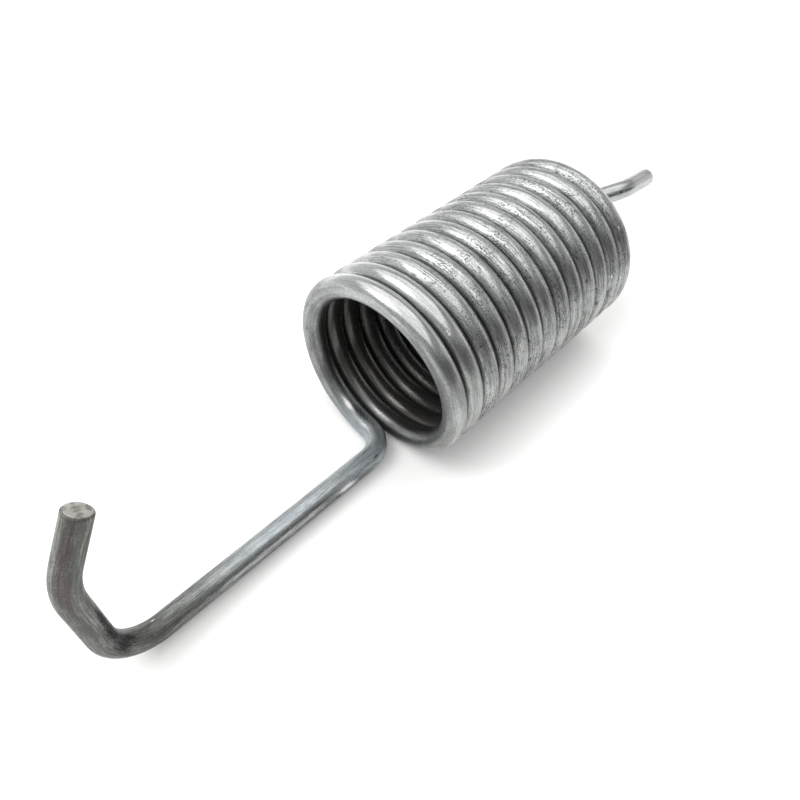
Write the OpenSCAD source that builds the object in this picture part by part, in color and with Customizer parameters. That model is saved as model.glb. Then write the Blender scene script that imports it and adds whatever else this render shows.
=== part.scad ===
// Extension spring: a close-wound coil of round wire with a long side arm and hook at its near
// end and a short cranked leg at its far end, all one piece of wire.
// The coil's axis runs along X with the hook towards -X, Z is up and the floor is z = 0.
// The origin is on the floor, under the middle of the spring's length and width.

/* [Wire] */
// Diameter of the wire
wire_d = 3.5; // [2:0.1:4.5]
// Width of the bevel that the cutter leaves on both ends of the wire
tip_bevel = 0.3; // [0.1:0.05:0.6]

/* [Coil] */
// Outer diameter of the coil
coil_od = 31; // [24:0.5:45]
// Turns of the coil, counted from its lowest point
turns = 13.125; // [5.125:1:24.125]
// Gap between neighbouring turns
turn_gap = 0.03; // [0.02:0.01:2]
// Radius of the bend at each end of the coil, at the middle of the wire
coil_bend_r = 4.3; // [3:0.1:7]

/* [Arm and hook] */
// Length of the arm, from corner to corner
arm_l = 48; // [25:1:90]
// Angle at which the arm rises from the floor
arm_rise = 1.2; // [0:0.1:6]
// Radius of the bend from the arm to the hook, at the middle of the wire
hook_bend_r = 6.6; // [3:0.1:9]
// Height of the hook, from corner to corner
hook_h = 17.5; // [14:0.5:40]
// Angle at which the hook leans towards the coil's axis
hook_lean = 10.5; // [0:0.5:30]
// Radius of the bend to the hook's tip, at the middle of the wire
hook_tip_bend_r = 10.5; // [4:0.5:20]
// Angle by which the hook's tip turns back over the arm
hook_tip_angle = 34; // [10:1:60]
// Length of the hook's tip, from its corner to the cut
hook_tip_l = 10.3; // [8:0.1:25]

/* [Leg] */
// Distance along the axis from the end of the coil to the leg's corner
leg_out = 24; // [18:0.5:60]
// Distance of the leg's corner below the coil's axis
leg_drop = 0.5; // [0:0.1:4]
// Angle at which the leg dips towards its tip
leg_dip = 8; // [0:0.5:20]
// Radius of the leg's bend, at the middle of the wire
leg_bend_r = 6; // [3:0.1:12]
// Length of the leg, from its corner to the cut
leg_l = 9.2; // [7:0.1:30]

/* [Hidden] */
$fn = 48;

// Every second stretch of the wire is this much thinner and runs this far into its neighbours,
// so that the stretches join as one solid
thinner = 0.01;
lap = 0.1;
// Rounds in which the corner next to the coil is worked out
rounds = 12;

wire_r = wire_d / 2;
mean_r = (coil_od - wire_d) / 2;
axis_z = coil_od / 2;
// Rise of the wire for each turn, at which neighbouring turns are turn_gap apart
lead_angle = asin((wire_d + turn_gap) / (2 * PI * mean_r));
pitch = (wire_d + turn_gap) / cos(lead_angle);

// The coil is an odd number of arcs, eight a turn. Each lies in its own plane, and meets its
// neighbours on the helix and in the same direction.
arcs = 2 * round(4 * turns - 0.5) + 1;
half_angle = 180 * turns / arcs;
half_rise = pitch * turns / arcs / 2;
slope = atan(half_rise / (mean_r * tan(half_angle)));
plane_tilt = atan(half_rise / (mean_r * sin(half_angle)));
arc_half = asin(sin(half_angle) * cos(slope));
arc_r = norm([mean_r * sin(half_angle), half_rise]) / sin(arc_half);
arc_centre = mean_r * cos(half_angle) - arc_r * cos(arc_half);

// Where the wire leaves the coil, and its direction there, away from the coil
near_start = [0, 0, wire_r];
near_dir = -[sin(slope), cos(slope), 0];
end_angle = 360 * turns;
far_start = [pitch * turns, mean_r * sin(end_angle), axis_z - mean_r * cos(end_angle)];
far_dir = [sin(slope), cos(slope) * cos(end_angle), cos(slope) * sin(end_angle)];

// Corners of the arm and hook, from the coil to the tip
arm_dir = [-cos(arm_rise), 0, sin(arm_rise)];
hook_dir = [0, sin(hook_lean), cos(hook_lean)];
hook_tip_dir = hook_dir * cos(hook_tip_angle) + [sin(hook_tip_angle), 0, 0];
arm_corner = near_start + near_dir * set_back(coil_bend_r, near_dir, arm_dir);
hook_corner = arm_corner + arm_dir * arm_l;
hook_top = hook_corner + hook_dir * hook_h;
near_corners = [near_start, arm_corner, hook_corner, hook_top, hook_top + hook_tip_dir * hook_tip_l];
near_radii = [coil_bend_r, hook_bend_r, hook_tip_bend_r];

// Corners of the leg and of the slanting crank that carries it, from the coil to the tip
leg_corner = [far_start.x + leg_out, 0, axis_z - leg_drop];
leg_tip = leg_corner + leg_l * [cos(leg_dip), 0, -sin(leg_dip)];
far_corners = [far_start, crank_corner(rounds), leg_corner, leg_tip];
far_radii = [coil_bend_r, leg_bend_r];

// Middle of the spring's length
hook_side = hook_corner.x - wire_r;
leg_side = leg_tip.x + (wire_r - tip_bevel) * sin(leg_dip);
middle_x = (hook_side + leg_side) / 2;

function unit(v) = v / norm(v);
function angle_between(a, b) = atan2(norm(cross(a, b)), a * b);
// How far before its corner a bend begins
function set_back(r, a, b) = r * tan(angle_between(a, b) / 2);
// The crank's corner lies where its bend begins at the end of the coil. The bend's angle depends
// on the corner, so the two are worked out together in a few rounds.
function crank_corner(n) =
  far_start + far_dir * (n <= 0 ? coil_bend_r : set_back(coil_bend_r, far_dir, leg_corner - crank_corner(n - 1)));
// Direction from corner k to the next
function heading(corners, k) = unit(corners[k + 1] - corners[k]);
function bend_set_back(corners, radii, k) =
  k > len(radii) ? 0 : set_back(radii[k - 1], heading(corners, k - 1), heading(corners, k));

// Round wire bent about the Z axis, from -before to angle + after
module bent_wire(r, d, angle, before, after) {
  rotate_extrude(angle = before + angle + after, start = -before)
    translate([r, 0])
      circle(d = d);
}

// A thin stretch, which laps into its neighbours
module lapped_bend(r, angle) {
  extra = lap / r * 180 / PI;
  bent_wire(r, wire_d - thinner, angle, extra, extra);
}

module coil() {
  translate([0, 0, axis_z])
    rotate([0, 90, 0])
      for (i = [0 : arcs - 1])
        rotate([0, 0, (2 * i + 1) * half_angle])
          translate([arc_centre, 0, (2 * i + 1) * half_rise])
            rotate([plane_tilt, 0, 0])
              rotate([0, 0, -arc_half])
                if (i % 2 == 0) bent_wire(arc_r, wire_d, 2 * arc_half, 0, 0);
                else lapped_bend(arc_r, 2 * arc_half);
}

// A bend that starts at a point with the direction a and ends with the direction b
module bend(start, a, b, r) {
  inward = unit(b - a * (a * b));
  normal = cross(a, inward);
  centre = start + r * inward;
  multmatrix([
    [-inward.x, a.x, normal.x, centre.x],
    [-inward.y, a.y, normal.y, centre.y],
    [-inward.z, a.z, normal.z, centre.z]
  ])
    lapped_bend(r, angle_between(a, b));
}

// A straight stretch of a length, with the cutter's bevel if it ends the wire
module straight(start, dir, l, is_tip) {
  bevel = is_tip ? tip_bevel : 0;
  translate(start)
    rotate([0, acos(dir.z), atan2(dir.y, dir.x)]) {
      cylinder(h = l - bevel, r = wire_r);
      if (is_tip) translate([0, 0, l - bevel]) cylinder(h = bevel, r1 = wire_r, r2 = wire_r - bevel);
    }
}

// The wire from the coil to its cut end: a bend at each corner and a straight stretch after it
module wire_end(corners, radii) {
  for (k = [1 : len(radii)]) {
    a = heading(corners, k - 1);
    b = heading(corners, k);
    back = bend_set_back(corners, radii, k);
    next_back = bend_set_back(corners, radii, k + 1);
    l = norm(corners[k + 1] - corners[k]) - back - next_back;
    bend(corners[k] - a * back, a, b, radii[k - 1]);
    straight(corners[k] + b * back, b, l, k == len(radii));
  }
}

module spring() {
  color([0.56, 0.58, 0.6])
    translate([-middle_x, 0, 0]) {
      coil();
      wire_end(near_corners, near_radii);
      wire_end(far_corners, far_radii);
    }
}

spring();
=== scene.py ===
import math

import bpy
import numpy as np
from bpy.props import FloatProperty, FloatVectorProperty, IntProperty, PointerProperty
from mathutils import Matrix, Vector


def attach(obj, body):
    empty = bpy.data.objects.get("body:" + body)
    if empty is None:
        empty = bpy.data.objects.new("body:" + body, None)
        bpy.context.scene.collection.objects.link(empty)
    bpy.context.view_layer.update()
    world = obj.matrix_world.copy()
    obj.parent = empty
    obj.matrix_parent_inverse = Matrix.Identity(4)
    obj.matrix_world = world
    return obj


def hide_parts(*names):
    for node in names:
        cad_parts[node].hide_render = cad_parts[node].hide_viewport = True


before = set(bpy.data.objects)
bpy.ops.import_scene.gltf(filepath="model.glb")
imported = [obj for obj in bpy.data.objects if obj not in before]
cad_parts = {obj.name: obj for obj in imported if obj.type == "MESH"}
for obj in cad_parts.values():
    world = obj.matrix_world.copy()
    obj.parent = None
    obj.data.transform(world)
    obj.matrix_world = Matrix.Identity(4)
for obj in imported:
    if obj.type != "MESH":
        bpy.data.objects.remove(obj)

bl_info = {
    "name": "Extension Spring",
    "version": (1, 0, 0),
    "blender": (4, 5, 0),
    "location": "3D View > Sidebar > Spring",
    "description": "A close-wound extension spring of drawn wire, on a white floor",
    "category": "Add Mesh",
}

MM = 0.001
CAD_NODE = "spring"
BODY = "root"

# Attribute that holds each point's place on the wire before it was wound: across it, and along it
UNWOUND = "unwound"


def linear(code):
    """A linear colour from an sRGB hex code."""
    channels = [int(code[i : i + 2], 16) / 255 for i in (0, 2, 4)]
    return tuple(c / 12.92 if c <= 0.04045 else ((c + 0.055) / 1.055) ** 2.4 for c in channels)


def length(name, description, millimetres):
    """A property that holds a length, with its default in millimetres."""
    return FloatProperty(
        name=name,
        description=description,
        default=millimetres * MM,
        min=0,
        precision=5,
        subtype="DISTANCE",
        unit="LENGTH",
    )


def angle(name, description, degrees):
    """A property that holds an angle, with its default in degrees."""
    return FloatProperty(
        name=name,
        description=description,
        default=math.radians(degrees),
        subtype="ANGLE",
        unit="ROTATION",
    )


def colour(name, description, code):
    """A property that holds a colour, with its default as an sRGB hex code."""
    return FloatVectorProperty(
        name=name,
        description=description,
        default=linear(code),
        min=0,
        max=1,
        subtype="COLOR",
    )


class SpringWireSettings(bpy.types.PropertyGroup):
    """Sizes of the wire, the same as the solid's, and colours of its steel, some of which also paint
    shade, a highlight and a glint.
    """

    wire_d: length("Wire diameter", "Diameter of the wire", 3.5)
    coil_od: length("Coil diameter", "Outer diameter of the coil", 31)
    turns: FloatProperty(name="Turns", description="Turns of the coil", default=13.125, min=1)
    turn_gap: length("Turn gap", "Gap between neighbouring turns", 0.03)
    coil_bend_r: length("Coil bend", "Radius of the bend at each end of the coil", 4.3)
    arm_l: length("Arm length", "Length of the arm, from corner to corner", 48)
    arm_rise: angle("Arm rise", "Angle at which the arm rises from the floor", 1.2)
    hook_bend_r: length("Hook bend", "Radius of the bend from the arm to the hook", 6.6)
    hook_h: length("Hook length", "Length of the hook, from corner to corner", 17.5)
    hook_lean: angle("Hook lean", "Angle at which the hook leans to the coil's axis", 10.5)
    hook_tip_bend_r: length("Tip bend", "Radius of the bend to the hook's tip", 10.5)
    hook_tip_angle: angle("Tip angle", "Angle by which the hook's tip turns back", 34)
    hook_tip_l: length("Tip length", "Length of the hook's tip, to the cut", 10.3)
    leg_out: length("Leg distance", "Distance of the leg's corner from the coil", 24)
    leg_drop: length("Leg drop", "Distance of the leg's corner below the axis", 0.5)
    leg_dip: angle("Leg dip", "Angle at which the leg dips towards its tip", 8)
    leg_bend_r: length("Leg bend", "Radius of the leg's bend", 6)
    leg_l: length("Leg length", "Length of the leg, from its corner to the cut", 9.2)
    tip_bevel: length("Tip bevel", "Width of the cutter's bevel on the wire's ends", 0.3)
    sides: IntProperty(name="Sides", description="Flat sides round the wire", default=44, min=12)
    ring_gap: length("Ring gap", "Distance between rings of points along the coil", 0.75)
    end_ring_gap: length("End ring gap", "Distance between rings of points along the ends", 0.35)
    steel: colour("Steel", "Colour of the clean drawn steel", "B8BAB9")
    # Rubbed steel is also the colour of the painted highlight on the arm's top
    rubbed_and_highlight: colour("Rubbed steel", "Colour where the steel is rubbed bright", "D6D7D6")
    oxide: colour("Dull lines", "Colour of the dull lines between the clean ones", "6B6E6F")
    # Film is also the colour of the painted shade on the coil's sides, on its lower part and under the
    # arm
    film_and_shade: colour("Film", "Colour of the drawing film on the arm and the hook", "585954")
    cool: colour("Cool film", "Colour of the thin bluish film on the arm and its bend", "A3AEB5")
    streak: colour("Streak", "Colour of the brown streaks on the hook", "4E4246")
    # Oil is also the colour of the painted shade inside the coil and in its grooves
    oil_and_shade: colour("Oil", "Colour of the oily dirt inside the coil and in its grooves", "454341")
    cut: colour("Cut face", "Colour of the sheared ends of the wire", "AAA7A2")
    torn: colour("Torn face", "Colour of the torn parts of the sheared ends", "757069")
    soot: colour("Soot", "Colour of the dirt in pits and bends", "1E1F21")
    # Nick is also the colour of a painted glint on the first turn
    nick_and_glint: colour("Nick", "Colour of the bare steel in nicks", "DCDCDA")


class SpringStageSettings(bpy.types.PropertyGroup):
    """The floor and the card."""

    floor_size: length("Floor size", "Length of each side of the floor", 6000)
    floor: colour("Floor", "Colour of the floor", "F4F4F3")
    card: colour("Card", "Colour of the dark card", "6E6E6E")
    shadow_lift: FloatProperty(
        name="Shadow lift",
        description="Brightness added to the seen floor by the spring",
        default=0.07,
    )
    floor_lift: FloatProperty(
        name="Floor lift",
        description="Brightness added to the seen floor on both sides of the spring",
        default=0.36,
    )


# Centre line of the wire

# Steps of a bend: at least this many, and this many times as close as on a straight stretch
LEAST_BEND_STEPS = 6
BEND_FINENESS = 1.5
# Rounds in which the crank's corner is worked out, because it depends on the crank's direction
CRANK_ROUNDS = 12
# Reach of the cut end's own points from the tip, in widths of its bevel
CUT_REACH = 1.6


def turned(a, b):
    """Angle between two directions."""
    return math.atan2(a.cross(b).length, a.dot(b))


def set_back(radius, a, b):
    """How far before its corner a bend begins."""
    return radius * math.tan(turned(a, b) / 2)


def straight_line(start, end, gap):
    """Points from a start, which is left out, to an end. A stretch that is far shorter than the
    gap between points gets none."""
    distance = (end - start).length
    if distance < gap / 10:
        return []
    steps = math.ceil(distance / gap)
    return [start.lerp(end, i / steps) for i in range(1, steps + 1)]


def corner_line(corners, radii, gap):
    """Points along straight stretches with a round bend at each inner corner, without the first
    point, because the coil ends there."""
    line = []
    at = corners[0]
    for k in range(1, len(corners) - 1):
        a = (corners[k] - corners[k - 1]).normalized()
        b = (corners[k + 1] - corners[k]).normalized()
        radius = radii[k - 1]
        back = set_back(radius, a, b)
        start = corners[k] - a * back
        line += straight_line(at, start, gap)
        inward = (b - a * a.dot(b)).normalized()
        steps = max(LEAST_BEND_STEPS, math.ceil(radius * turned(a, b) / gap * BEND_FINENESS))
        for i in range(1, steps + 1):
            t = turned(a, b) * i / steps
            line.append(start + a * radius * math.sin(t) + inward * radius * (1 - math.cos(t)))
        at = line[-1]
    return line + straight_line(at, corners[-1], gap)


class CentreLine:
    """The wire's centre line, worked out from the sizes as the solid's is."""

    def __init__(self, s):
        self.s = s
        self.wire_r = s.wire_d / 2
        self.mean_r = (s.coil_od - s.wire_d) / 2
        self.axis_z = s.coil_od / 2
        lead = math.asin((s.wire_d + s.turn_gap) / (2 * math.pi * self.mean_r))
        self.pitch = (s.wire_d + s.turn_gap) / math.cos(lead)
        self.lead = math.atan(self.pitch / (2 * math.pi * self.mean_r))
        self.near = self.near_corners()
        self.far = self.far_corners()
        hook_side = self.near[2].x - self.wire_r
        leg_side = self.far[-1].x + (self.wire_r - s.tip_bevel) * math.sin(s.leg_dip)
        self.shift = Vector(((hook_side + leg_side) / 2, 0, 0))

    def on_coil(self, turn):
        """Point of the coil after some turns from its lowest point."""
        t = 2 * math.pi * turn
        y = self.mean_r * math.sin(t)
        z = self.axis_z - self.mean_r * math.cos(t)
        return Vector((self.pitch * turn, y, z))

    def along_coil(self, turn):
        """Direction of the wire in the coil."""
        t = 2 * math.pi * turn
        flat = math.cos(self.lead)
        return Vector((math.sin(self.lead), flat * math.cos(t), flat * math.sin(t)))

    def near_corners(self):
        """Corners of the arm and the hook, from the coil to the tip."""
        s = self.s
        start = self.on_coil(0)
        away = -self.along_coil(0)
        arm = Vector((-math.cos(s.arm_rise), 0, math.sin(s.arm_rise)))
        hook = Vector((0, math.sin(s.hook_lean), math.cos(s.hook_lean)))
        tip = hook * math.cos(s.hook_tip_angle) + Vector((math.sin(s.hook_tip_angle), 0, 0))
        arm_corner = start + away * set_back(s.coil_bend_r, away, arm)
        hook_corner = arm_corner + arm * s.arm_l
        hook_top = hook_corner + hook * s.hook_h
        return [start, arm_corner, hook_corner, hook_top, hook_top + tip * s.hook_tip_l]

    def far_corners(self):
        """Corners of the crank and the leg behind the coil, from the coil to the tip."""
        s = self.s
        start = self.on_coil(s.turns)
        away = self.along_coil(s.turns)
        leg_corner = Vector((start.x + s.leg_out, 0, self.axis_z - s.leg_drop))
        crank_corner = start + away * s.coil_bend_r
        for _ in range(CRANK_ROUNDS):
            crank = leg_corner - crank_corner
            crank_corner = start + away * set_back(s.coil_bend_r, away, crank)
        leg = Vector((math.cos(s.leg_dip), 0, -math.sin(s.leg_dip)))
        return [start, crank_corner, leg_corner, leg_corner + leg * s.leg_l]

    def points(self):
        """Points from the hook's tip to the leg's tip, with the origin under the middle."""
        s = self.s
        near_radii = [s.coil_bend_r, s.hook_bend_r, s.hook_tip_bend_r]
        hook = corner_line(self.near, near_radii, s.end_ring_gap)
        leg = corner_line(self.far, [s.coil_bend_r, s.leg_bend_r], s.end_ring_gap)
        steps = math.ceil(2 * math.pi * self.mean_r * s.turns / s.ring_gap)
        coil = [self.on_coil(s.turns * i / steps) for i in range(steps + 1)]
        line = hook[::-1] + coil + leg
        return [p - self.shift for p in line]


def cut_end(tip, inward, wire_r, bevel):
    """Points and radius factors from the middle of a cut face to the full wire: a face that
    bulges a little, its rounded edge and the bevel."""
    bulge = 0.05 * MM
    # Each step's depth below the tip and its share of the wire's radius
    steps = [
        (0.0, 0.02),
        (0.10 * bulge, 0.30),
        (0.45 * bulge, 0.62),
        (bulge, 1 - 1.15 * bevel / wire_r),
        (bulge + 0.12 * bevel, 1 - 0.95 * bevel / wire_r),
        (bulge + 0.45 * bevel, 1 - 0.45 * bevel / wire_r),
        (bulge + 0.8 * bevel, 1 - 0.1 * bevel / wire_r),
        (bulge + 1.1 * bevel, 1.0),
    ]
    return [(tip + inward * depth, factor) for depth, factor in steps]


def wire_curve(line, s):
    """A curve object along the wire's centre line, with its radius factor at each point. Points
    that are too near to a tip are left out, so that the cut end doesn't fold over itself."""
    wire_r = s.wire_d / 2
    first = cut_end(line[0], (line[1] - line[0]).normalized(), wire_r, s.tip_bevel)
    last = cut_end(line[-1], (line[-2] - line[-1]).normalized(), wire_r, s.tip_bevel)
    clear = CUT_REACH * s.tip_bevel
    inner = [p for p in line if (p - line[0]).length > clear and (p - line[-1]).length > clear]
    stations = first + [(p, 1.0) for p in inner] + last[::-1]
    curve = bpy.data.curves.new("wire_path", "CURVE")
    curve.dimensions = "3D"
    spline = curve.splines.new("POLY")
    spline.points.add(len(stations) - 1)
    for point, (place, factor) in zip(spline.points, stations):
        point.co = (*place, 1)
        point.radius = factor
    made = bpy.data.objects.new("wire_path", curve)
    bpy.context.scene.collection.objects.link(made)
    return made


# Geometry Nodes


def add_node(tree, kind, settings=None, inputs=None, links=None):
    """Adds a node with its settings, its inputs' values and links into its inputs. Inputs are
    named, or numbered where two have one name."""
    node = tree.nodes.new(kind)
    for name, value in (settings or {}).items():
        setattr(node, name, value)
    for key, value in (inputs or {}).items():
        node.inputs[key].default_value = value
    for key, socket in (links or {}).items():
        tree.links.new(socket, node.inputs[key])
    return node


def sweep_tree():
    """A node tree that sweeps a round wire along a curve and keeps each point's unwound place."""
    tree = bpy.data.node_groups.new("wire_sweep", "GeometryNodeTree")
    face = tree.interface
    face.new_socket("Path", in_out="INPUT", socket_type="NodeSocketGeometry")
    face.new_socket("Wire Radius", in_out="INPUT", socket_type="NodeSocketFloat")
    face.new_socket("Sides", in_out="INPUT", socket_type="NodeSocketInt")
    face.new_socket("Steel", in_out="INPUT", socket_type="NodeSocketMaterial")
    face.new_socket("Wire", in_out="OUTPUT", socket_type="NodeSocketGeometry")
    given = add_node(tree, "NodeGroupInput")
    ring = add_node(
        tree,
        "GeometryNodeCurvePrimitiveCircle",
        links={"Resolution": given.outputs["Sides"], "Radius": given.outputs["Wire Radius"]},
    )
    place = add_node(tree, "GeometryNodeInputPosition")
    across = add_node(
        tree,
        "GeometryNodeStoreNamedAttribute",
        {"data_type": "FLOAT_VECTOR", "domain": "POINT"},
        {"Name": "across"},
        {"Geometry": ring.outputs["Curve"], "Value": place.outputs[0]},
    )
    travel = add_node(tree, "GeometryNodeSplineParameter")
    along = add_node(
        tree,
        "GeometryNodeStoreNamedAttribute",
        {"data_type": "FLOAT", "domain": "POINT"},
        {"Name": "along"},
        {"Geometry": given.outputs["Path"], "Value": travel.outputs["Length"]},
    )
    radius = add_node(tree, "GeometryNodeInputRadius")
    sweep = add_node(
        tree,
        "GeometryNodeCurveToMesh",
        inputs={"Fill Caps": True},
        links={
            "Curve": along.outputs["Geometry"],
            "Profile Curve": across.outputs["Geometry"],
            "Scale": radius.outputs[0],
        },
    )
    read_across = add_node(
        tree, "GeometryNodeInputNamedAttribute", {"data_type": "FLOAT_VECTOR"}, {"Name": "across"}
    )
    read_along = add_node(
        tree, "GeometryNodeInputNamedAttribute", {"data_type": "FLOAT"}, {"Name": "along"}
    )
    travelled = add_node(
        tree, "ShaderNodeCombineXYZ", links={"Z": read_along.outputs["Attribute"]}
    )
    unwound = add_node(
        tree,
        "ShaderNodeVectorMath",
        {"operation": "ADD"},
        links={0: read_across.outputs["Attribute"], 1: travelled.outputs[0]},
    )
    stored = add_node(
        tree,
        "GeometryNodeStoreNamedAttribute",
        {"data_type": "FLOAT_VECTOR", "domain": "POINT"},
        {"Name": UNWOUND},
        {"Geometry": sweep.outputs["Mesh"], "Value": unwound.outputs[0]},
    )
    smooth = add_node(
        tree, "GeometryNodeSetShadeSmooth", links={"Geometry": stored.outputs["Geometry"]}
    )
    real = add_node(
        tree, "GeometryNodeRealizeInstances", links={"Geometry": smooth.outputs["Geometry"]}
    )
    dressed = add_node(
        tree,
        "GeometryNodeSetMaterial",
        links={"Geometry": real.outputs["Geometry"], "Material": given.outputs["Steel"]},
    )
    add_node(tree, "NodeGroupOutput", links={"Wire": dressed.outputs["Geometry"]})
    return tree


def swept(path, values, name):
    """The plain mesh object that the sweep makes along a path. The path is then removed."""
    modifier = path.modifiers.new("sweep", "NODES")
    modifier.node_group = sweep_tree()
    for item in modifier.node_group.interface.items_tree:
        if item.in_out == "INPUT" and item.name in values:
            modifier[item.identifier] = values[item.name]
    graph = bpy.context.evaluated_depsgraph_get()
    mesh = bpy.data.meshes.new_from_object(path.evaluated_get(graph))
    if not mesh.polygons:
        raise RuntimeError("The sweep made no wire")
    mesh.name = name
    for spare in ("across", "along"):
        if spare in mesh.attributes:
            mesh.attributes.remove(mesh.attributes[spare])
    made = bpy.data.objects.new(name, mesh)
    bpy.context.scene.collection.objects.link(made)
    bpy.data.objects.remove(path)
    return made


def press_dents(wire, wire_r):
    """Moves the wire's surface in where it is dented, deepest in each dent's middle."""
    mesh = wire.data
    count = len(mesh.vertices)
    place, normal, unwound = (np.empty(count * 3) for _ in range(3))
    mesh.vertices.foreach_get("co", place)
    mesh.vertices.foreach_get("normal", normal)
    mesh.attributes[UNWOUND].data.foreach_get("vector", unwound)
    place, normal, unwound = (a.reshape(-1, 3) for a in (place, normal, unwound))
    for mark, depth in DENTS:
        away = np.linalg.norm((unwound - mark.middle(wire_r)) / mark.sizes(), axis=1)
        hollow = 0.5 + 0.5 * np.cos(np.pi * np.clip(away, 0, 1))
        place = place - normal * (hollow * depth)[:, None]
    mesh.vertices.foreach_set("co", place.ravel())
    mesh.update()


# Materials


class Pattern:
    """Noise with blots of about these sizes in millimetres, its number of layers, and how strong
    the finer ones are. With limits, it goes from 0 to 1 between these two levels of the noise."""

    def __init__(self, sizes, layers, strength, limits=None):
        self.sizes = tuple(size * MM for size in sizes)
        self.layers = layers
        self.strength = strength
        self.limits = limits


# Patterns that follow the unwound wire: two sizes across it and one along it
FINE_LINES = Pattern((0.19, 0.19, 4.5), 3, 0.65, (0.34, 0.66))
BROAD_LINES = Pattern((0.6, 0.6, 18), 2, 0.5, (0.34, 0.66))
SCRATCHES = Pattern((0.2, 0.2, 1.9), 2, 0.6, (0.57, 0.66))
CLOUDS = Pattern((1.4, 1.4, 3.5), 4, 0.7, (0.35, 0.65))
PITS = Pattern((0.15, 0.15, 0.26), 2, 0.7)
# Patterns that don't follow it
GRAIN = Pattern((0.26, 0.26, 0.26), 3, 0.75)
PATCHES = Pattern((5, 5, 5), 3, 0.6, (0.42, 0.6))
TORN_PLACES = Pattern((1.1, 1.1, 1.1), 3, 0.6, (0.4, 0.62))

# Size of a pattern in a direction in which it doesn't change
ENDLESS = 1e6
# Softness of the pits' edges, in levels of their noise
PIT_EDGE = 0.05
# Depths below a tip where its sheared face has faded out and where it is full, in millimetres
CUT_DEPTHS = (0.16, 0.08)
# Depth of the steel's relief where its height is 1
RELIEF = 0.022 * MM
# Numbers of a Mix node's colour sockets
MIX_FIRST, MIX_SECOND, MIX_RESULT = 6, 7, 2


class MaterialNodes:
    """Short ways to add the nodes that the materials here are made of. Patterns, zones and marks
    are sockets that go from 0 to 1. Sizes are in metres where nothing else is said."""

    def __init__(self, material):
        material.use_nodes = True
        self.tree = material.node_tree
        self.shader = self.tree.nodes["Principled BSDF"]

    def set(self, **values):
        """Constant values on the shader's own sockets, named with _ for each space."""
        for name, value in values.items():
            self.shader.inputs[name.replace("_", " ")].default_value = value

    def drive(self, name, socket):
        """Links a pattern into one of the shader's sockets."""
        self.tree.links.new(socket, self.shader.inputs[name])

    def object_place(self):
        """Place of the point in the part's frame."""
        return add_node(self.tree, "ShaderNodeTexCoord").outputs["Object"]

    def attribute(self, name):
        """A vector that the mesh holds."""
        return add_node(self.tree, "ShaderNodeAttribute", {"attribute_name": name}).outputs["Vector"]

    def stretched(self, vector, sizes, shift=(0, 0, 0)):
        """A vector in which a pattern of size 1 has these sizes."""
        moved = add_node(
            self.tree,
            "ShaderNodeVectorMath",
            {"operation": "SUBTRACT"},
            {1: shift},
            {0: vector},
        )
        scaled = add_node(
            self.tree,
            "ShaderNodeVectorMath",
            {"operation": "DIVIDE"},
            {1: sizes},
            {0: moved.outputs[0]},
        )
        return scaled.outputs[0]

    def noise(self, vector, pattern):
        """A pattern laid out over a vector."""
        node = add_node(
            self.tree,
            "ShaderNodeTexNoise",
            inputs={"Scale": 1.0, "Detail": pattern.layers, "Roughness": pattern.strength},
            links={"Vector": self.stretched(vector, pattern.sizes)},
        )
        level = node.outputs["Fac"]
        return self.rise(level, *pattern.limits) if pattern.limits else level

    def rise(self, value, start, end, low=0.0, high=1.0):
        """A smooth change from low at the start to high at the end."""
        node = add_node(
            self.tree,
            "ShaderNodeMapRange",
            {"interpolation_type": "SMOOTHSTEP"},
            {1: start, 2: end, 3: low, 4: high},
            {0: value},
        )
        return node.outputs[0]

    def fade_in(self, value, limits, zero=0.0):
        """0 at the first of two places and 1 at the second, in millimetres from a zero."""
        start, end = (zero + limit * MM for limit in limits)
        return self.rise(value, start, end)

    def math(self, operation, *values):
        """One step of arithmetic on sockets and numbers."""
        inputs = {i: v for i, v in enumerate(values) if not isinstance(v, bpy.types.NodeSocket)}
        links = {i: v for i, v in enumerate(values) if isinstance(v, bpy.types.NodeSocket)}
        return add_node(self.tree, "ShaderNodeMath", {"operation": operation}, inputs, links).outputs[0]

    def times(self, *values):
        """Product of sockets and numbers."""
        result = values[0]
        for value in values[1:]:
            result = self.math("MULTIPLY", result, value)
        return result

    def most(self, *values):
        """The largest of some sockets."""
        result = values[0]
        for value in values[1:]:
            result = self.math("MAXIMUM", result, value)
        return result

    def strongest(self, *pairs):
        """The largest of some sockets, each times its share."""
        return self.most(*[self.times(socket, share) for socket, share in pairs])

    def weighed(self, *pairs, base=0.0):
        """A base and the sum of some sockets, each times its weight."""
        total = base
        for socket, weight in pairs:
            total = self.math("MULTIPLY_ADD", socket, weight, total)
        return total

    def without(self, value):
        """One minus a value."""
        return self.math("SUBTRACT", 1.0, value)

    def mix_value(self, factor, first, second):
        """Number between two, each a socket or a number."""
        return self.math("ADD", self.times(first, self.without(factor)), self.times(second, factor))

    def mix(self, factor, first, second):
        """Colour between two, each a socket or a linear colour."""
        inputs, links = {}, {0: factor}
        for key, value in ((MIX_FIRST, first), (MIX_SECOND, second)):
            if isinstance(value, bpy.types.NodeSocket):
                links[key] = value
            else:
                inputs[key] = (*value, 1)
        node = add_node(self.tree, "ShaderNodeMix", {"data_type": "RGBA"}, inputs, links)
        return node.outputs[MIX_RESULT]

    def length_of(self, vector):
        """Length of a vector."""
        node = add_node(
            self.tree, "ShaderNodeVectorMath", {"operation": "LENGTH"}, links={0: vector}
        )
        return node.outputs["Value"]

    def parts(self, vector):
        """The X, Y and Z of a vector."""
        return add_node(self.tree, "ShaderNodeSeparateXYZ", links={0: vector}).outputs

    def bump(self, height, depth):
        """Raises the surface by a depth where the height is 1."""
        node = add_node(
            self.tree,
            "ShaderNodeBump",
            inputs={"Strength": 1.0, "Distance": depth},
            links={"Height": height},
        )
        self.tree.links.new(node.outputs[0], self.shader.inputs["Normal"])


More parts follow.
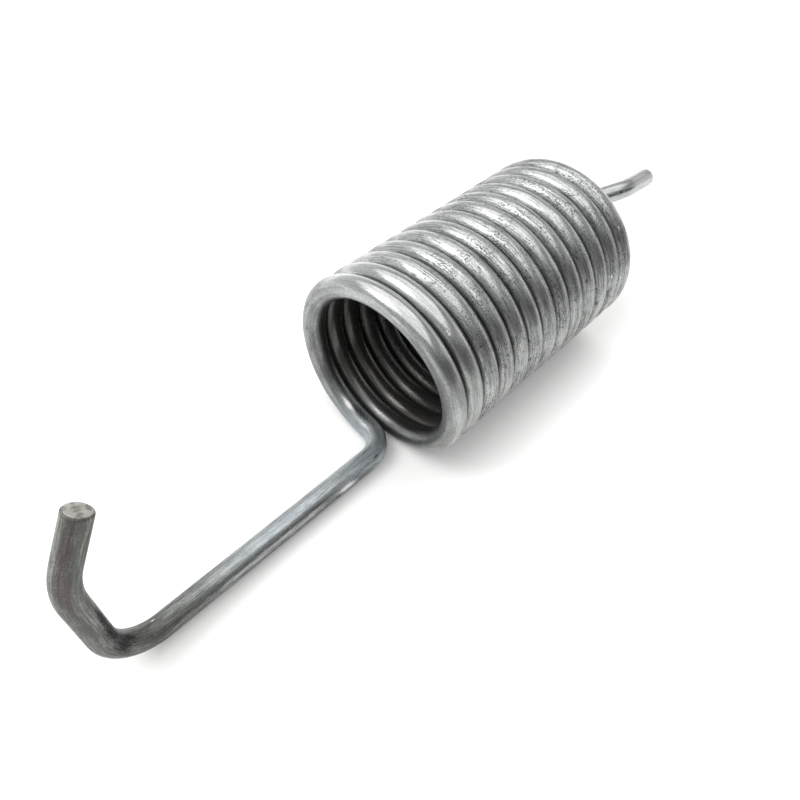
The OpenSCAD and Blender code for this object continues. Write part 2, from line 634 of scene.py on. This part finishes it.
class WireMark:
    """A mark on the wire: how far along it from the hook's tip in millimetres, on which side in
    degrees round the wire, how long and wide in millimetres, and how soft its edge is."""

    def __init__(self, along, side, long, wide, soft=0.5):
        self.along = along * MM
        self.side = math.radians(side)
        self.long = long * MM
        self.wide = wide * MM
        self.soft = soft

    def middle(self, wire_r):
        """The mark's middle on the unwound wire."""
        return (wire_r * math.cos(self.side), wire_r * math.sin(self.side), self.along)

    def sizes(self):
        """How far the mark reaches across the wire and along it."""
        return (self.wide / 2, self.wide / 2, self.long / 2)

    def spot(self, n, unwound, wire_r, ragged):
        """1 in the mark's middle and 0 outside it, with a ragged edge."""
        away = n.length_of(n.stretched(unwound, self.sizes(), self.middle(wire_r)))
        return n.rise(n.math("ADD", away, ragged), 1 + self.soft, 1 - self.soft)


# Black dirt in the inside of the hook's bend, and beside the rubbed place with a painted glint at the
# coil's near bend
BEND_DIRT = (
    WireMark(17.4, 147, 4.6, 0.9),
    WireMark(20.4, 152, 4.6, 1.5, 0.7),
    WireMark(24.0, 162, 3.6, 2.0, 0.8),
    WireMark(24.6, 140, 2.6, 1.0, 0.8),
    WireMark(78.2, 121, 4.2, 1.1, 0.8),
)
# Brown streaks along the hook and its tip
BROWN_STREAKS = (WireMark(4.5, -118, 12.0, 1.2, 0.9), WireMark(10.2, -138, 7.0, 1.0, 0.9))
# Places where the wire was knocked, clamped or rubbed, and shines. The mark 80.8 mm along is a painted
# glint on a rubbed place on the first turn
BRIGHT_NICKS_AND_GLINT = (
    WireMark(30.2, 95, 0.6, 0.2),
    WireMark(62.7, -169, 3.0, 0.9),
    WireMark(80.8, 99, 2.8, 0.6, 0.8),
    WireMark(213.4, -8, 0.8, 0.3),
    WireMark(1087, 147, 0.5, 0.25),
    WireMark(1167.3, 147, 0.6, 0.25),
    WireMark(1175.5, 172, 0.5, 0.25),
)
# Deeper pits that hold dirt
DARK_PITS = (
    WireMark(60.9, -159, 1.2, 0.4),
    WireMark(63.4, 178, 3.4, 0.35),
    WireMark(69.3, 157, 0.8, 0.4),
    WireMark(911.4, 114, 0.8, 0.35),
    WireMark(1003.7, 139, 0.7, 0.35),
    WireMark(1238.7, -71, 0.9, 0.6),
)
# Dents that change the wire's outline, each with its depth
DENTS = (
    (WireMark(62.7, -167, 3.4, 1.3), 0.16 * MM),
    (WireMark(12.4, -113, 2.6, 1.9), 0.18 * MM),
    (WireMark(1.2, -90, 1.3, 1.2), 0.16 * MM),
    (WireMark(23.8, 155, 3.0, 1.8), 0.10 * MM),
    (WireMark(30.4, 94, 2.2, 1.2), 0.07 * MM),
)


class WireZones:
    """Zones of the wire, each a socket that is 1 inside and 0 outside. Their limits are in
    millimetres: first where the zone has faded out, and then where it is full."""

    def __init__(self, n, place, along, s):
        x = n.parts(place)["X"]
        z = n.parts(place)["Z"]
        axis_z = s.coil_od / 2
        mean_r = axis_z - s.wire_d / 2
        from_axis = n.length_of(n.stretched(place, (ENDLESS, 1, 1), (0, 0, axis_z)))

        # The coil, the crests of its turns, and its grooves and inside where other turns cover them
        self.coil = n.times(n.fade_in(x, (-17.2, -15.6)), n.fade_in(x, (34, 32.5)))
        self.crest = n.fade_in(from_axis, (0.9, 1.62), mean_r)
        covered = n.times(n.fade_in(along, (140, 190)), self.coil)
        self.groove = n.times(covered, n.fade_in(from_axis, (1.15, 0.3), mean_r))
        self.inside = n.times(covered, n.fade_in(from_axis, (-0.1, -0.9), mean_r))

        # The coil's sides at middle height, its lower part, and its first turns
        self.flank = n.times(self.coil, n.fade_in(z, (28, 25)), n.fade_in(z, (11, 22)))
        self.low = n.times(self.coil, n.fade_in(z, (22, 14)))
        self.first_turns = n.fade_in(along, (330, 210))

        # The bend from the coil to the arm, the arm's two sides, the hook and the leg
        self.near_bend = n.times(n.fade_in(along, (57, 66)), n.fade_in(along, (86, 79)))
        arm = n.fade_in(x, (-18, -21))
        self.underside = n.times(arm, n.fade_in(z, (3.2, 1.9)))
        self.arm_top = n.times(arm, n.fade_in(z, (3.3, 4.0)))
        self.hook = n.fade_in(along, (52, 27))
        self.leg = n.fade_in(x, (36, 38))


def drawn_spring_steel(s, wire_l):
    """Cold-drawn spring steel wire, coiled and bent without any coating. The die leaves fine lines
    along the wire. The coiling tool rubs the crests of the turns bright and pits them. The hook keeps
    the dull film of the drawing soap, the arm a thin bluish film, and the coil holds oil and dirt
    inside. Painted shade darkens the coil's sides, its lower part, its inside and grooves and the arm's
    underside, a painted highlight lightens the arm's top, and a painted glint lies on the first turn."""
    material = bpy.data.materials.new("drawn_spring_steel")
    n = MaterialNodes(material)
    place = n.object_place()
    unwound = n.attribute(UNWOUND)
    along = n.parts(unwound)["Z"]
    zone = WireZones(n, place, along, s)
    grain = n.noise(place, GRAIN)
    ragged = n.weighed((grain, 2.0), base=-1.0)

    def marked(marks):
        """1 in the middle of any of the marks."""
        return n.most(*[mark.spot(n, unwound, s.wire_d / 2, ragged) for mark in marks])

    # Draw lines and scratches, weaker on the first turns, and the clean steel between them
    calm = n.times(zone.first_turns, zone.coil, 0.6)
    fine = n.mix_value(calm, n.noise(unwound, FINE_LINES), 0.5)
    scratch = n.mix_value(calm, n.noise(unwound, SCRATCHES), 0.1)
    broad = n.noise(unwound, BROAD_LINES)
    cloud = n.noise(unwound, CLOUDS)
    clean = n.weighed(
        (fine, 0.5), (broad, 0.3), (cloud, 0.25), (grain, 1.3), (scratch, -0.5), base=-0.65
    )
    seen = n.mix(clean, s.oxide, s.steel)

    # Rubbed bright on the crests, but less on the coil's sides, which is painted shade; a painted
    # highlight on the arm's top, and a little rubbing on the leg
    crest = n.times(zone.coil, zone.crest, n.weighed((fine, 0.4), base=0.18))
    crest = n.times(crest, n.weighed((zone.flank, -0.7), base=1.0))
    # Painted highlight on the arm's top
    arm_top = n.times(zone.arm_top, n.without(zone.hook))
    rubbed_and_highlight = n.most(crest, n.times(arm_top, 0.1), n.times(zone.leg, 0.3))
    seen = n.mix(rubbed_and_highlight, seen, s.rubbed_and_highlight)

    # Thin bluish film on the arm and on the bend from the coil
    bend_film = n.times(zone.near_bend, n.weighed((clean, 0.8), base=0.08))
    seen = n.mix(n.most(n.times(arm_top, 0.4), bend_film), seen, s.cool)

    # Painted shade on the coil's sides, on its lower part and under the arm, in the dull film's colour,
    # and the dull film itself, thickest, on the hook
    film_and_shade = n.strongest((zone.flank, 0.38), (zone.low, 0.42), (zone.underside, 0.8), (zone.hook, 0.9))
    film_and_shade = n.times(film_and_shade, n.weighed((clean, -0.5), base=1.22))
    seen = n.mix(film_and_shade, seen, s.film_and_shade)
    seen = n.mix(n.times(marked(BROWN_STREAKS), 0.6), seen, s.streak)

    # Darker inside the coil and in its grooves: painted shade, over oil and dirt
    seen = n.mix(n.times(zone.inside, n.weighed((fine, -0.12), base=0.95)), seen, s.oil_and_shade)
    seen = n.mix(n.times(zone.groove, 0.45), seen, s.oil_and_shade)

    # Pits full of dirt, most of them in patches after the first turns
    patches = n.weighed((n.noise(place, PATCHES), 0.6), base=0.4)
    pitted = n.times(zone.coil, n.without(zone.first_turns), patches)
    pit_level = n.weighed((pitted, -0.145), base=0.68)
    pits = n.rise(n.math("SUBTRACT", n.noise(unwound, PITS), pit_level), 0.0, PIT_EDGE)
    dirt = n.times(marked(BEND_DIRT), n.weighed((scratch, 0.2), base=0.8))
    dark = marked(DARK_PITS)
    soot = n.most(n.times(pits, 0.75), dirt, n.times(dark, 0.7))
    seen = n.mix(soot, seen, s.soot)

    # Sheared ends with torn places, bare steel in the nicks, and the painted glint on the first turn
    far_depths = [-depth for depth in CUT_DEPTHS]
    cut = n.most(n.fade_in(along, CUT_DEPTHS), n.fade_in(along, far_depths, wire_l))
    seen = n.mix(cut, seen, n.mix(n.noise(place, TORN_PLACES), s.cut, s.torn))
    nicks_and_glint = marked(BRIGHT_NICKS_AND_GLINT)
    seen = n.mix(nicks_and_glint, seen, s.nick_and_glint)
    n.drive("Base Color", seen)

    # Film and oil hide some of the metal
    hidden = n.strongest((zone.near_bend, 0.5), (zone.inside, 0.3), (zone.hook, 0.2))
    n.drive("Metallic", n.without(hidden))

    # Rubbed and oily steel shines most; film, the painted shade on the coil's sides and under the arm,
    # and dirt least
    dull = n.weighed(
        (cloud, -0.08), (rubbed_and_highlight, -0.16), (film_and_shade, 0.18), (zone.inside, -0.15), (soot, 0.25), base=0.33
    )
    n.drive("Roughness", dull)

    # Relief, in which the pitted turns are grainier than the rest
    height = n.weighed((fine, 0.25), (broad, 0.35), (scratch, -0.35))
    height = n.weighed((grain, n.weighed((pitted, 1.0), base=0.4)), base=height)
    height = n.weighed((pits, -1.4), (nicks_and_glint, -1.5), (dark, -2.0), base=height)
    n.bump(height, RELIEF)
    return material


def white_floor(s):
    """Plain white floor, matt, brighter to the eye than its light makes it, as in an over-exposed
    picture: a little by the spring, more on both sides of it and white far away."""
    material = bpy.data.materials.new("white_floor")
    n = MaterialNodes(material)
    n.set(Base_Color=(*s.floor, 1), Roughness=0.9, Specular_IOR_Level=0.1)
    n.set(Emission_Color=(1, 1, 1, 1))
    path = add_node(n.tree, "ShaderNodeLightPath").outputs
    seen = n.most(path["Is Camera Ray"], path["Is Glossy Ray"], path["Is Transmission Ray"])
    place = n.object_place()
    aside = n.math("ABSOLUTE", n.parts(place)["Y"])
    lift = n.rise(aside, 12 * MM, 24 * MM, s.shadow_lift, s.floor_lift)
    far = n.fade_in(n.length_of(place), (200, 320))
    n.drive("Emission Strength", n.times(seen, n.most(lift, far)))
    return material


# Stage


def add_floor(s):
    """A square floor, level with the part's lowest point."""
    half = s.floor_size / 2
    mesh = bpy.data.meshes.new("floor")
    mesh.from_pydata(
        [(-half, -half, 0), (half, -half, 0), (half, half, 0), (-half, half, 0)], [], [(0, 1, 2, 3)]
    )
    mesh.materials.append(white_floor(s))
    floor = bpy.data.objects.new("floor", mesh)
    bpy.context.scene.collection.objects.link(floor)


def add_softbox(name, azimuth, elevation, distance, size, watts):
    """A square soft light that faces the part. Azimuth runs from +X to +Y, in degrees."""
    lamp = bpy.data.lights.new(name, "AREA")
    lamp.shape = "SQUARE"
    lamp.size = size
    lamp.energy = watts
    made = bpy.data.objects.new(name, lamp)
    made.visible_camera = False
    a, e = math.radians(azimuth), math.radians(elevation)
    towards = Vector((math.cos(a) * math.cos(e), math.sin(a) * math.cos(e), math.sin(e)))
    made.location = towards * distance
    made.rotation_euler = towards.to_track_quat("Z", "Y").to_euler()
    bpy.context.scene.collection.objects.link(made)
    return made


def light_world():
    """A white backdrop all round, up to some way above the horizon, and a grey room above it.
    Heights are sines of the angle above the horizon."""
    white_up_to = 0.30
    grey_from = 0.55
    white, grey = 1.0, 0.42
    world = bpy.data.worlds.new("room")
    world.use_nodes = True
    tree = world.node_tree
    facing = add_node(tree, "ShaderNodeTexCoord").outputs["Generated"]
    up = add_node(tree, "ShaderNodeSeparateXYZ", links={0: facing}).outputs["Z"]
    white_to_grey = add_node(
        tree,
        "ShaderNodeMapRange",
        {"interpolation_type": "SMOOTHSTEP"},
        {1: white_up_to, 2: grey_from, 3: white, 4: grey},
        {0: up},
    )
    background = tree.nodes["Background"]
    background.inputs["Color"].default_value = (*linear("FFFFFF"), 1)
    tree.links.new(white_to_grey.outputs[0], background.inputs["Strength"])
    bpy.context.scene.world = world


def add_dark_card(s, azimuth, distance, width, height):
    """A dark grey card of painted board that stands on the floor beside the camera, so that the
    metal has something dark to reflect. The camera doesn't see it."""
    half = width / 2
    mesh = bpy.data.meshes.new("dark_card")
    a = math.radians(azimuth)
    middle = Vector((math.cos(a), math.sin(a), 0)) * distance
    side = Vector((-math.sin(a), math.cos(a), 0)) * half
    up = Vector((0, 0, height))
    edge = [middle - side, middle + side, middle + side + up, middle - side + up]
    mesh.from_pydata(edge, [], [(0, 1, 2, 3)])
    material = bpy.data.materials.new("grey_card")
    MaterialNodes(material).set(Base_Color=(*s.card, 1), Roughness=0.9)
    mesh.materials.append(material)
    card = bpy.data.objects.new("dark_card", mesh)
    card.visible_camera = False
    bpy.context.scene.collection.objects.link(card)


def add_camera():
    """The camera of the reference view: near the hook, above it, and looking along the coil. It
    is rolled a little, as the photo's was."""
    place = Vector((-61.416, -43.114, 91.671)) * MM
    aim = Vector((-15.28, -6.07, 15.5)) * MM
    roll = math.radians(6.24)
    camera = bpy.data.cameras.new("camera")
    camera.lens = 30.25
    camera.sensor_width = 36
    camera.clip_start = 5 * MM
    camera.clip_end = 20
    made = bpy.data.objects.new("camera", camera)
    level = (aim - place).to_track_quat("-Z", "Y").to_matrix()
    made.matrix_world = Matrix.Translation(place) @ (level @ Matrix.Rotation(roll, 3, "Z")).to_4x4()
    bpy.context.scene.collection.objects.link(made)
    bpy.context.scene.camera = made
    return made


class SPRING_OT_wire(bpy.types.Operator):
    """Sweep the spring's wire along its coil, arm, hook and leg"""

    bl_idname = "spring.wire"
    bl_label = "Make the Wire"
    bl_options = {"REGISTER", "UNDO"}

    def execute(self, context):
        s = context.scene.spring_wire
        path = wire_curve(CentreLine(s).points(), s)
        steel = drawn_spring_steel(s, path.data.splines[0].calc_length())
        values = {"Wire Radius": s.wire_d / 2, "Sides": s.sides, "Steel": steel}
        wire = swept(path, values, "spring_wire")
        press_dents(wire, s.wire_d / 2)
        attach(wire, BODY)
        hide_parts(CAD_NODE)
        return {"FINISHED"}


class SPRING_OT_stage(bpy.types.Operator):
    """Add the white floor, the soft lights, the dark card and the camera"""

    bl_idname = "spring.stage"
    bl_label = "Set the Stage"
    bl_options = {"REGISTER", "UNDO"}

    def execute(self, context):
        s = context.scene.spring_stage
        add_floor(s)
        light_world()
        add_softbox("ceiling", azimuth=120, elevation=78, distance=1.0, size=1.9, watts=15)
        add_softbox("window", azimuth=140, elevation=50, distance=1.1, size=0.5, watts=3.6)
        add_dark_card(s, azimuth=-98, distance=0.32, width=1.0, height=0.22)
        add_camera()
        context.scene.view_settings.view_transform = "Standard"
        return {"FINISHED"}


class SPRING_PT_panel(bpy.types.Panel):
    """Sizes, colours and steps of the spring"""

    bl_label = "Extension Spring"
    bl_space_type = "VIEW_3D"
    bl_region_type = "UI"
    bl_category = "Spring"

    def draw(self, context):
        layout = self.layout
        for settings, step in (
            (context.scene.spring_wire, SPRING_OT_wire),
            (context.scene.spring_stage, SPRING_OT_stage),
        ):
            box = layout.box()
            for name in settings.__annotations__:
                box.prop(settings, name)
            box.operator(step.bl_idname)


CLASSES = (
    SpringWireSettings,
    SpringStageSettings,
    SPRING_OT_wire,
    SPRING_OT_stage,
    SPRING_PT_panel,
)


def register():
    for cls in CLASSES:
        bpy.utils.register_class(cls)
    bpy.types.Scene.spring_wire = PointerProperty(type=SpringWireSettings)
    bpy.types.Scene.spring_stage = PointerProperty(type=SpringStageSettings)


def unregister():
    del bpy.types.Scene.spring_stage
    del bpy.types.Scene.spring_wire
    for cls in reversed(CLASSES):
        bpy.utils.unregister_class(cls)


def corners(bounds):
    """The two corners of a box as plain lists."""
    return [list(corner) for corner in bounds]


def main():
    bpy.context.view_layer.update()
    register()
    bpy.ops.spring.wire()
    bpy.ops.spring.stage()


if __name__ == "__main__":
    main()
